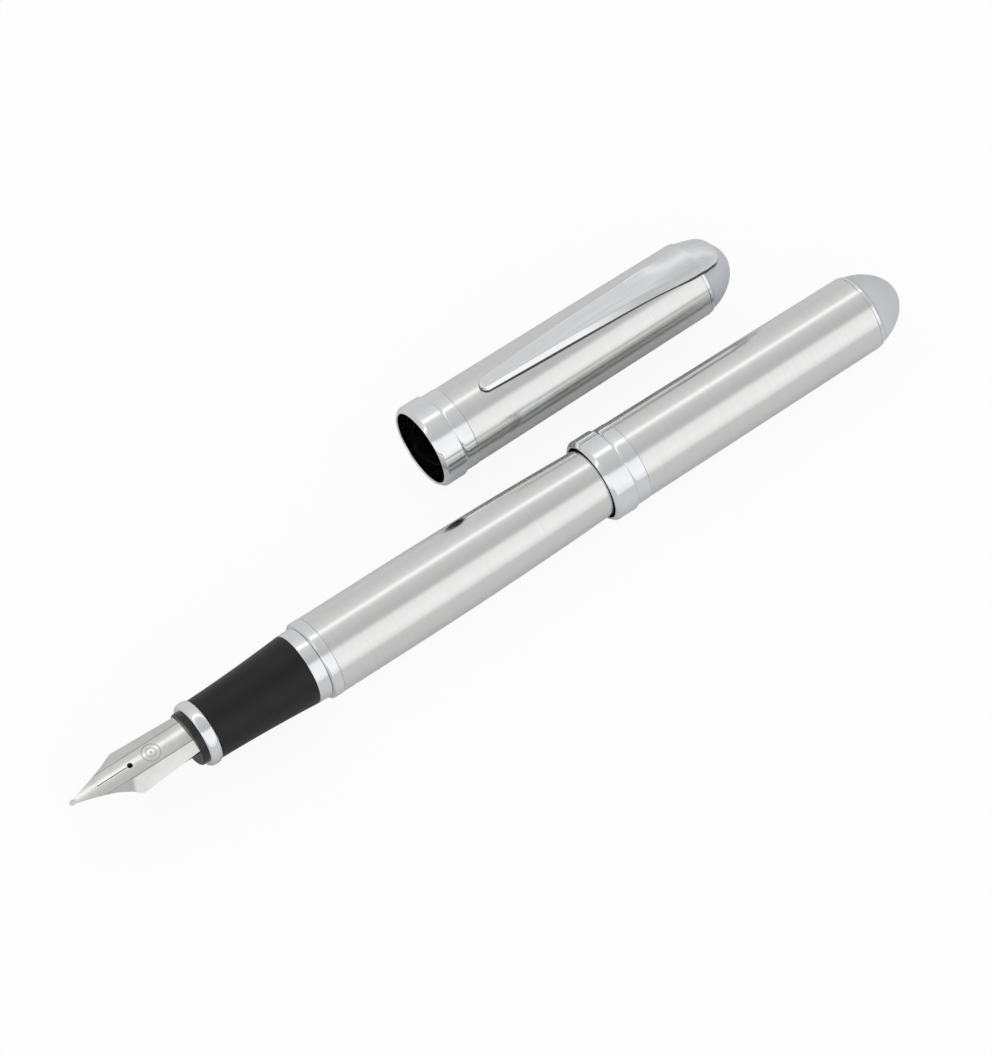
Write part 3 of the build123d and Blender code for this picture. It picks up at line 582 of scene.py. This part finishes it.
# section
section = dict(
    gripFront=5.0, gripHollow=0.135, bore=4.55, ringEdge=0.12,
    noseBore=4.13, lipRadius=4.52, noseRound=0.55, noseFullness=1.1,
)


def makeSection(part):
    x0, x1, radius = ends("section_ring")
    bore = part["bore"] * mm
    small = part["ringEdge"] * mm
    ring = turned(
        "sectionRing",
        [(x0, bore), (x0, radius - small), (x0 + small, radius),
         (x1 - small, radius), (x1, radius - small), (x1, bore)],
        (penY, penZ), brightTrim, 0.08,
    )
    seat(ring, "section", "bright_trim", "section_ring")

    g0, g1, rear = ends("grip_sleeve")
    front = part["gripFront"] * mm
    outline = []
    for k in range(33):
        share = k / 32
        waist = front + (rear - front) * share - 4 * part["gripHollow"] * mm * share * (1 - share)
        outline.append((g0 + (g1 - g0) * share, waist))
    outline += [(g1, bore), (g0, bore)]
    grip = turned("gripSleeve", outline, (penY, penZ), gripBlack, 0.12)
    seat(grip, "section", "grip_rubber", "grip_sleeve")

    n0, n1, crest = ends("nose_ring")
    length = n1 - n0
    noseBore = part["noseBore"] * mm
    bead = []
    for k in range(29):
        angle = math.radians(178 - 176 * k / 28)
        under = part["noseRound"] * mm * (1 - math.sin(angle)) ** part["noseFullness"]
        bead.append((n0 + length * (0.5 + 0.5 * math.cos(angle)), crest - under))
    outline = [(n0, part["lipRadius"] * mm)] + bead + [(n1, front), (n1, noseBore), (n0, noseBore)]
    nose = turned("noseRing", outline, (penY, penZ), brightTrim, 0.04)
    seat(nose, "section", "bright_trim", "nose_ring")


makeSection(section)
print("section made")

# caps
capShape = dict(
    bore=6.05, lipFlat=0.3, lipEdge=0.12, chamfer=0.6, flat=3.25, cove=0.85, coveEase=0.8,
    neck=1.8, neckEdge=0.06, neckStand=0.08, sleeve=2.1, tubeRadius=6.5,
    wall=0.25, taperStart=10.0, taper=0.28, ringLength=0.8, ringInset=0.1, ringBevel=0.25, plugLength=3.0,
    seam=0.05, groove=0.13,  # broken edge of the tube, and the dark line between it and the end ring
    fitPlay=0.02, domeGap=0.03, domeEdge=0.08, shoulder=0.93, nose=0.55, shoulderReach=0.42,
    screwHole=1.45, linerBore=5.624, throat=4.569, throatStart=21.8,
)


def capMouth(cap):
    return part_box(cap + "_band")[0].x


def makeCap(cap, centre, part):
    mouth = capMouth(cap)
    length = (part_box(cap + "_dome")[1].x - mouth) / mm
    tubeStop = (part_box(cap + "_tube")[1].x - mouth) / mm
    domeStart = tubeStop + part["ringLength"]
    bandRadius = ends(cap + "_band")[2] / mm
    tubeRadius = part["tubeRadius"]
    sleeve = tubeRadius - part["wall"]
    neck = tubeRadius + part["neckStand"]
    bore = part["bore"]
    flatStop = part["chamfer"] + part["flat"]
    coveStop = flatStop + part["cove"]
    bandStop = coveStop + part["neck"]
    linerStart = bandStop + part["sleeve"]
    endRadius = tubeRadius - part["taper"]
    ringRadius = endRadius - part["ringInset"]
    domeRadius = ringRadius - part["ringBevel"]

    def placed(points):
        return [(mouth + u * mm, r * mm) for u, r in points]

    coveCurve = []
    for k in range(13):
        share = k / 12
        angle = share * math.pi / 2
        reach = part["cove"] * (1 - math.cos(angle)) ** part["coveEase"]
        coveCurve.append((flatStop + reach, bandRadius - (bandRadius - neck) * math.sin(angle)))
    lip, edge = part["lipEdge"], part["neckEdge"]
    outline = [(lip, bore), (0, bore + lip), (0, bore + part["lipFlat"]), (part["chamfer"], bandRadius)]
    outline += coveCurve + [(bandStop - edge, neck), (bandStop, neck - edge), (bandStop, sleeve)]
    outline += [(linerStart, sleeve), (linerStart, bore)]
    band = turned(cap + "Band", placed(outline), centre, brightTrim, 0.07)
    seat(band, cap, "bright_trim", cap + "_band")

    seam, groove = part["seam"], part["groove"]
    outline = [
        (bandStop, sleeve), (bandStop + seam, tubeRadius - seam), (bandStop + 2 * seam, tubeRadius),
        (part["taperStart"], tubeRadius), (tubeStop - seam, endRadius), (tubeStop, endRadius - seam),
        (tubeStop, endRadius - part["wall"]), (part["taperStart"], sleeve),
    ]
    tube = turned(cap + "Tube", placed(outline), centre, brushedTube, 0.02)
    seat(tube, cap, "brushed_tube", cap + "_tube")

    play, hole = part["fitPlay"], part["screwHole"]
    plug = endRadius - part["wall"] - play
    plugStart = tubeStop - part["plugLength"]
    outline = [
        (plugStart, hole), (plugStart, plug), (tubeStop + groove, plug), (tubeStop + groove, ringRadius),
        (domeStart - part["ringBevel"], ringRadius), (domeStart, domeRadius), (domeStart, hole),
    ]
    endRing = turned(cap + "EndRing", placed(outline), centre, brightTrim, 0.05)
    seat(endRing, cap, "bright_trim", cap + "_end_ring")

    handles = (
        (domeStart, domeRadius),
        (domeStart + part["shoulderReach"] * (length - domeStart), part["shoulder"] * domeRadius),
        (length, part["nose"] * domeRadius), (length, 0),
    )
    rim = domeStart + part["domeGap"]
    outline = [(rim, domeRadius - part["domeEdge"])]
    outline += [tuple(bezier(handles, k / 40)) for k in range(1, 41)] + [(rim, 0)]
    dome = turned(cap + "Dome", placed(outline), centre, domeSatin, 0.02)
    seat(dome, cap, "cap_dome_metal", cap + "_dome")

    linerStop = (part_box(cap + "_liner")[1].x - mouth) / mm
    fall = part["taper"] * (linerStop - part["taperStart"]) / (tubeStop - part["taperStart"])
    outline = [
        (linerStart, part["linerBore"]), (linerStart, sleeve - play), (part["taperStart"], sleeve - play),
        (linerStop, sleeve - fall - play), (linerStop, part["throat"]),
        (part["throatStart"], part["throat"]), (part["throatStart"], part["linerBore"]),
    ]
    liner = turned(cap + "Liner", placed(outline), centre, linerBlack, 0.1)
    seat(liner, cap, "black_plastic", cap + "_liner")
    return dict(mouth=mouth, handles=handles, tubeStop=tubeStop, domeStart=domeStart, endRadius=endRadius)


makeCap("tail_cap", (penY, penZ), capShape)
clipCap = makeCap("clip_cap", (capY, capZ), capShape)
print("caps made")

# clip
clipShape = dict(
    front=11.3, rear=55.6, tip=1.25, sheet=1.02,
    near=0.62, rise=0.48,  # where the near facet starts, as a share of the half width, and its depth
    far=0.74, fall=0.42,  # the same for the far edge
    lean=0.085,  # slope of the top towards the near side
    widths=((12.55, 1.24), (20.0, 1.66), (30.0, 2.12), (40.0, 2.58), (46.3, 3.0), (50.8, 3.2), (53.3, 2.8)),
    gaps=((12.0, 0.08), (20.0, 0.36), (30.0, 0.44), (40.0, 0.34), (46.0, 0.22)),
    hoodFrom=42.0, hoodTo=50.5, hoodGap=0.1, hoodSheet=0.92, leastSheet=0.12, tipSheet=0.25, edge=0.05,
)


def makeClip(part, cap, capPart):
    tubeRadius = capPart["tubeRadius"]

    def capRadius(u):
        if u < capPart["taperStart"]:
            return tubeRadius
        if u < cap["tubeStop"]:
            past = (u - capPart["taperStart"]) / (cap["tubeStop"] - capPart["taperStart"])
            return tubeRadius - capPart["taper"] * past
        low, high = 0.0, 1.0
        for step in range(30):
            middle = (low + high) / 2
            if bezier(cap["handles"], middle).x < u:
                low = middle
            else:
                high = middle
        blend = min(1.0, (u - cap["tubeStop"]) / 1.2)
        dome = bezier(cap["handles"], low).y if u > cap["domeStart"] else cap["handles"][0][1]
        return (1 - blend) * cap["endRadius"] + blend * dome

    width = through(part["widths"], last=-0.28)
    gap = through(part["gaps"])
    frontStop = part["front"] + part["tip"]
    rearStart = part["widths"][-1][0]

    def halfWidth(u):
        if u < frontStop:
            back = (frontStop - u) / part["tip"]
            return part["widths"][0][1] * math.sqrt(max(0.0, 1 - back * back))
        if u > rearStart:
            past = (u - rearStart) / (part["rear"] - rearStart)
            return width(rearStart) * max(0.0, 1 - past ** 2.2) ** 0.5 * (1 - 0.06 * past)
        return width(u)

    def hoodShare(u):
        t = min(1.0, max(0.0, (u - part["hoodFrom"]) / (part["hoodTo"] - part["hoodFrom"])))
        return t * t * (3 - 2 * t)

    def heights(u, v):
        half = halfWidth(u)
        y = v * half
        base = capRadius(u)
        hood = hoodShare(u)
        flatLow = base + gap(u)
        round_ = base + part["hoodGap"]
        wrapLow = math.sqrt(max(0.5, round_ ** 2 - y ** 2))
        low = flatLow * (1 - hood) + wrapLow * hood
        thick = part["sheet"]
        if u < frontStop:
            back = (frontStop - u) / part["tip"]
            thin = part["tipSheet"]
            thick = thin + (thick - thin) * math.sqrt(max(0.0, 1 - back * back))
        crestDrop = part["lean"] * half * (part["far"] + part["near"])
        edge = 1 - 0.8 * hood
        if v < -part["near"]:
            drop = crestDrop + part["rise"] * edge * (-part["near"] - v) / (1 - part["near"])
        elif v < part["far"]:
            drop = crestDrop * (part["far"] - v) / (part["far"] + part["near"])
        else:
            drop = part["fall"] * edge * ((v - part["far"]) / (1 - part["far"])) ** 1.4
        top = low + thick - min(drop * (1 - hood) + drop * hood * 0.5, thick - part["leastSheet"])
        if hood > 0:
            crest = round_ + part["hoodSheet"]
            bulge = math.sqrt(max(0.5, crest ** 2 - y ** 2)) - 0.35 * drop
            top = top * (1 - hood) + max(low + part["leastSheet"], bulge) * hood
        return y, low, top

    places = [part["front"] + part["tip"] * (1 - math.cos(math.pi / 2 * k / 12)) for k in range(13)]
    places[0] = part["front"] + 0.004
    places += [frontStop + (rearStart - frontStop) * k / 110 for k in range(1, 111)]
    places += [rearStart + (part["rear"] - rearStart) * math.sin(math.pi / 2 * k / 16) for k in range(1, 17)]
    places[-1] = part["rear"] - 0.004
    near, far = part["near"], part["far"]
    across = [-1 + (1 - near) * k / 5 for k in range(6)]
    across += [-near + (near + far) * k / 14 for k in range(1, 15)]
    across += [far + (1 - far) * k / 6 for k in range(1, 7)]
    builder = bmesh.new()
    upper, lower = [], []
    for u in places:
        tops, lows = [], []
        for v in across:
            y, low, top = heights(u, v)
            x = cap["mouth"] + u * mm
            tops.append(builder.verts.new((x, capY + y * mm, capZ + top * mm)))
            lows.append(builder.verts.new((x, capY + y * mm, capZ + low * mm)))
        upper.append(tops)
        lower.append(lows)
    last = len(across) - 1
    for k in range(len(places) - 1):
        for j in range(last):
            builder.faces.new((upper[k][j], upper[k + 1][j], upper[k + 1][j + 1], upper[k][j + 1]))
            builder.faces.new((lower[k][j], lower[k][j + 1], lower[k + 1][j + 1], lower[k + 1][j]))
        for j in (0, last):
            builder.faces.new((upper[k][j], lower[k][j], lower[k + 1][j], upper[k + 1][j]))
    for k in (0, len(places) - 1):
        for j in range(last):
            builder.faces.new((upper[k][j], upper[k][j + 1], lower[k][j + 1], lower[k][j]))
    piece = newPiece("clipLeaf", builder, clipMetal)
    bevel = piece.modifiers.new("edge", "BEVEL")
    bevel.width = part["edge"] * mm
    bevel.segments = 3
    bevel.angle_limit = math.radians(22)
    smoothed(piece, 50)
    seat(piece, "clip", "clip_metal", "clip")


makeClip(clipShape, clipCap, capShape)
print("clip made")

# nib
nibShape = dict(
    start=0.8, shoulder=10.6, stop=30.0, rootPlace=22.0,
    tipHalf=0.35, half=4.19, rootHalf=3.45, tailHalf=2.6,
    waist=(0.64, 0.56), cheek=(0.83, 0.8),  # shares of the shoulder's station and of the half width
    firstSlope=0.28, lastSlope=-0.07,
    crest=3.35, sheet=0.35, slit=0.06, slitFront=4.8, closed=0.008, hole=10.8, holeRadius=0.44,
    # the middle is nearly flat and the wings are folded down, less so towards the tip
    frontDroop=0.55, fold=1.85, plateBend=8.0, wingSlope=0.60, wingCurl=0.049,
)


def makeNib(part):
    shoulder, half = part["shoulder"], part["half"]
    side = through(
        (
            (part["start"], part["tipHalf"]), (part["waist"][0] * shoulder, part["waist"][1] * half),
            (part["cheek"][0] * shoulder, part["cheek"][1] * half), (shoulder, half),
        ),
        first=part["firstSlope"], last=part["lastSlope"],
    )

    def edge(x):
        if x < shoulder:
            return side(x)
        if x < part["rootPlace"]:
            past = (x - shoulder) / (part["rootPlace"] - shoulder)
            return half + (part["rootHalf"] - half) * past
        return part["tailHalf"]

    def slit(x):
        if x < part["hole"] - part["holeRadius"]:
            return part["slit"] if x > part["slitFront"] else part["closed"]
        inside = part["holeRadius"] ** 2 - (x - part["hole"]) ** 2
        return max(math.sqrt(inside), 0.0) if inside > 0 else 0.0

    def skin(x, y):
        # height of the outer face over the axis, and its slope
        droop = min(1.0, max(part["frontDroop"], 1 - (shoulder - x) / 4))
        if y < part["fold"]:
            return part["crest"] - y * y / (2 * part["plateBend"]), y / part["plateBend"]
        past = y - part["fold"]
        start = part["crest"] - part["fold"] ** 2 / (2 * part["plateBend"])
        fall = droop * (part["wingSlope"] * past + part["wingCurl"] * past ** 2)
        return start - fall, droop * (part["wingSlope"] + 2 * part["wingCurl"] * past)

    holeFront, holeBack = part["hole"] - part["holeRadius"], part["hole"] + part["holeRadius"]
    places = [part["start"] + (holeFront - part["start"]) * k / 60 for k in range(60)]
    places += [part["hole"] - part["holeRadius"] * math.cos(math.pi * k / 24) for k in range(25)]
    places += [holeBack + (part["rootPlace"] - 0.01 - holeBack) * k / 50 for k in range(1, 51)]
    places += [part["rootPlace"] + (part["stop"] - part["rootPlace"]) * k / 12 for k in range(13)]
    builder = bmesh.new()
    for hand in (-1, 1):
        upper, lower = [], []
        for x in places:
            tops, lows = [], []
            open_, limit = slit(x), edge(x)
            foldAt = min(part["fold"], 0.9 * limit)
            across = [open_ + (foldAt - open_) * (k / 14) ** 1.4 for k in range(15)]
            across += [foldAt + (limit - foldAt) * k / 10 for k in range(1, 11)]
            for y in across:
                outer, slope = skin(x, y)
                thin = part["sheet"] * (1 - 0.25 * max(0.0, 1 - x / 6))
                tilt = math.atan(slope)
                innerY = max(y - thin * math.sin(tilt), open_)
                inner = outer - thin * math.cos(tilt)
                spot = nibTipX + x * mm
                tops.append(builder.verts.new((spot, penY + hand * y * mm, penZ + outer * mm)))
                lows.append(builder.verts.new((spot, penY + hand * innerY * mm, penZ + inner * mm)))
            upper.append(tops)
            lower.append(lows)
        last = len(across) - 1
        for k in range(len(places) - 1):
            for j in range(last):
                builder.faces.new((upper[k][j], upper[k + 1][j], upper[k + 1][j + 1], upper[k][j + 1]))
                builder.faces.new((lower[k][j], lower[k][j + 1], lower[k + 1][j + 1], lower[k + 1][j]))
            builder.faces.new((upper[k][last], lower[k][last], lower[k + 1][last], upper[k + 1][last]))
            if slit(places[k]) > 0 or slit(places[k + 1]) > 0:
                builder.faces.new((upper[k][0], lower[k][0], lower[k + 1][0], upper[k + 1][0]))
        for k in (0, len(places) - 1):
            for j in range(last):
                builder.faces.new((upper[k][j], upper[k][j + 1], lower[k][j + 1], lower[k][j]))
    bmesh.ops.remove_doubles(builder, verts=builder.verts, dist=0.0005 * mm)
    bmesh.ops.dissolve_degenerate(builder, edges=builder.edges, dist=0.0002 * mm)
    piece = smoothed(newPiece("nibLeaf", builder, nibSteel), 12)
    seat(piece, "nib_unit", "nib_steel", "nib")

    # the hard point, a small turned pellet; the slit that parts it on the real nib is not cut here
    low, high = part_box("nib_point")
    centre = ((low.y + high.y) / 2, (low.z + high.z) / 2)
    length, radius = high.x - low.x, (high.y - low.y) / 2
    outline = [(low.x, 0)]
    for k in range(1, 15):
        angle = math.pi * 0.78 * k / 14
        outline.append((low.x + 0.62 * length * (1 - math.cos(angle)), radius * math.sin(angle) ** 0.8))
    outline.append((high.x + 0.25 * mm, 0.62 * radius))
    outline.append((high.x + 0.25 * mm, 0))
    point = turned("nibPellet", outline, centre, nibSteel, 0.02, 48)
    seat(point, "nib_unit", "nib_steel", "nib_point")


makeNib(nibShape)
print("nib made")

# pieces kept from the frame
keptFinish = dict(
    feed=mouldedBlack, nib_housing=mouldedBlack, section_core=turnedBrass, barrel_bush=turnedBrass,
    converter_tube=clearPlastic, converter_band=brightTrim, converter_bush=linerBlack,
    converter_knob=mouldedBlack, piston_rod=linerBlack, piston_seal=pistonRubber,
    ink_ball=turnedSteel, tail_cap_screw=turnedSteel, clip_cap_screw=turnedSteel,
)
for node, finish in keptFinish.items():
    slots = cadNodes[node].data.materials
    if len(slots) == 0:
        slots.append(finish)
    for number in range(len(slots)):
        slots[number] = finish
print("kept pieces finished")
